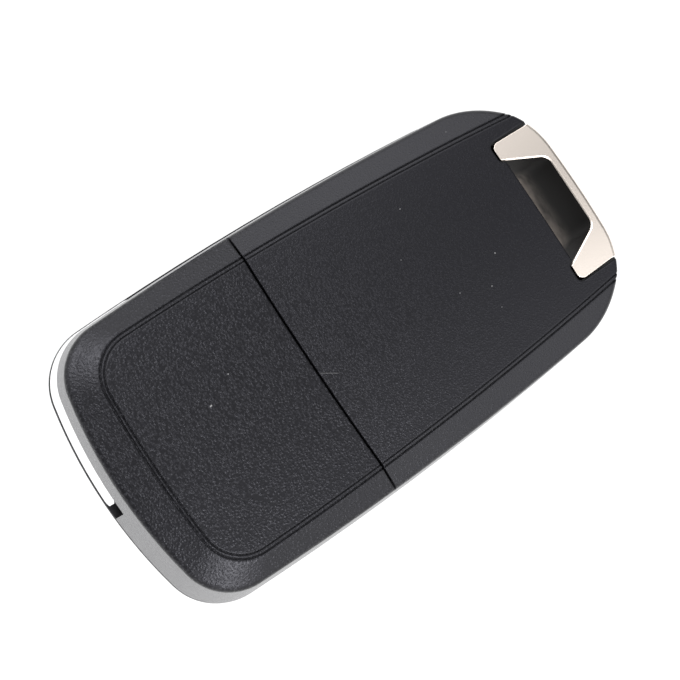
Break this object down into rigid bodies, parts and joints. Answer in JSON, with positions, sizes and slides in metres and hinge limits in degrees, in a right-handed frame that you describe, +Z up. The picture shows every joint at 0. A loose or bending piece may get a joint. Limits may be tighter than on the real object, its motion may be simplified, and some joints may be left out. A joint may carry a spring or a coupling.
{
  "type": "flip key remote shell",
  "caption": "Empty remote key shell with a folding blade, push keys, a lift-off battery cover and a metal loop for a key ring.",
  "frame": {"origin": "on the floor below the middle of the outline", "axes": "+X towards the key ring end, +Y towards the folded blade's side, +Z up, out of the back face; the button face is down"},
  "size_m": [0.0724, 0.0402, 0.0165],
  "materials": {
    "shell": "fine moulded grain",
    "rear_shell": "fine moulded grain",
    "cover": "coarse moulded grain",
    "bracket_metal": "satin cast metal with polished edges",
    "trim_metal": "polished",
    "blade_steel": "ground and nickel plated",
    "head_metal": "satin black",
    "spring_steel": "drawn wire",
    "screw_steel": "zinc plated",
    "bezel_gloss": "gloss",
    "key_plastic": "satin",
    "mat_rubber": "soft, milky grey"
  },
  "bodies": {
    "case": {"front_case": "shell", "button_bezel": "bezel_gloss", "keypad_mat": "mat_rubber", "middle_frame": "shell", "rear_case": "rear_shell", "keyring_bracket": "bracket_metal", "case_screws": "screw_steel"},
    "blade": {"key_blade": "blade_steel", "blade_head": "head_metal", "head_trim": "trim_metal", "blade_pin": "screw_steel", "flip_spring": "spring_steel", "hub_cap": "screw_steel", "hub_screw": "screw_steel"},
    "release": {"release_button": "trim_metal"},
    "cover": {"battery_cover": "cover"},
    "lock": {"lock_button": "key_plastic"},
    "unlock": {"unlock_button": "key_plastic"},
    "boot": {"boot_button": "key_plastic"},
    "alert": {"alert_button": "key_plastic"}
  },
  "joints": [
    {"name": "blade_fold", "type": "hinge", "parent": "case", "child": "blade", "pos_m": [-0.02505, 0.0084, 0.0048], "axis": [0, 0, 1], "range_deg": [0, 182.3]},
    {"name": "release_press", "type": "slide", "parent": "case", "child": "release", "axis": [0, 0, 1], "range_m": [0, 0.0022], "stiffness_N_per_m": 1500, "springref_m": -0.001, "deforming": ["flip_spring"]},
    {"name": "cover_lift", "type": "slide", "parent": "case", "child": "cover", "axis": [0, 0, 1], "range_m": [0, 0.02]},
    {"name": "lock_press", "type": "slide", "parent": "case", "child": "lock", "axis": [0, 0, 1], "range_m": [0, 0.0006], "stiffness_N_per_m": 1500, "springref_m": -0.0005},
    {"name": "unlock_press", "type": "slide", "parent": "case", "child": "unlock", "axis": [0, 0, 1], "range_m": [0, 0.0006], "stiffness_N_per_m": 1500, "springref_m": -0.0005},
    {"name": "boot_press", "type": "slide", "parent": "case", "child": "boot", "axis": [0, 0, 1], "range_m": [0, 0.0006], "stiffness_N_per_m": 1500, "springref_m": -0.0005},
    {"name": "alert_press", "type": "slide", "parent": "case", "child": "alert", "axis": [0, 0, 1], "range_m": [0, 0.0006], "stiffness_N_per_m": 1500, "springref_m": -0.0005}
  ]
}
